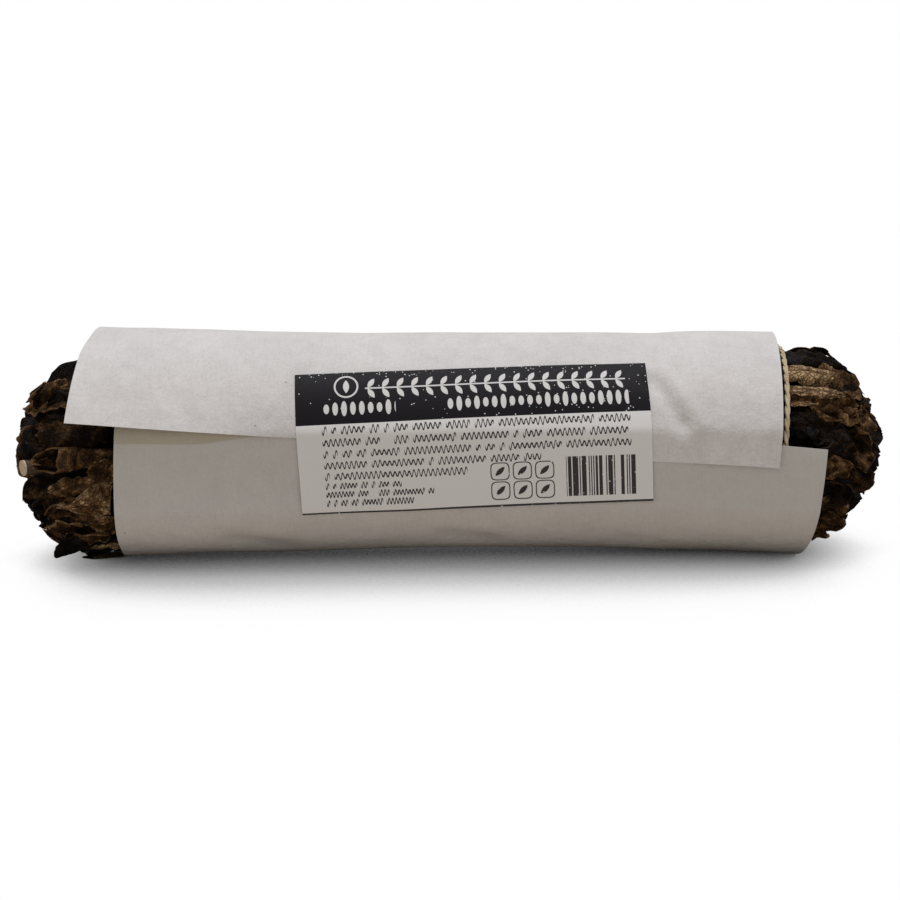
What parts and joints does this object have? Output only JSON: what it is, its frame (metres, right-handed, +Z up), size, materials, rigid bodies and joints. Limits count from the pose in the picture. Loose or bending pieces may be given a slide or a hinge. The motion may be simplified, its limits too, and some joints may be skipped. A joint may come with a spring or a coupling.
{
  "type": "herb smudge stick",
  "caption": "Dried herb smudge stick lying on its side: leafy stems bound with cotton twine, rolled in a sheet of white paper with both leafy ends bare, and closed with a printed paper label.",
  "frame": {"origin": "middle of the object's footprint, on the surface that it lies on", "axes": "+X along the stick, towards the end where a strand of twine shows beside the paper; +Z up; the label faces -Y"},
  "size_m": [0.15, 0.043, 0.0403],
  "materials": {
    "leaves": "dry crumpled leaf, nearly black with brown and tan patches",
    "stem": "pale dry woody stem",
    "twine": "two-ply undyed cotton twine",
    "paper": "matt off-white paper, slightly wrinkled",
    "label": "smooth white label printed in near-black"
  },
  "bodies": {
    "root": {"leaves_1": "leaves", "leaves_2": "leaves", "leaves_3": "leaves", "leaves_4": "leaves", "leaves_5": "leaves", "leaves_6": "leaves", "leaves_7": "leaves", "leaves_8": "leaves", "stem_1": "stem", "stem_2": "stem", "stem_3": "stem", "stem_4": "stem", "stem_5": "stem", "stem_6": "stem", "stem_7": "stem", "stem_8": "stem", "twine": "twine", "paper_sheet": "paper", "paper_label": "label"}
  },
  "joints": []
}
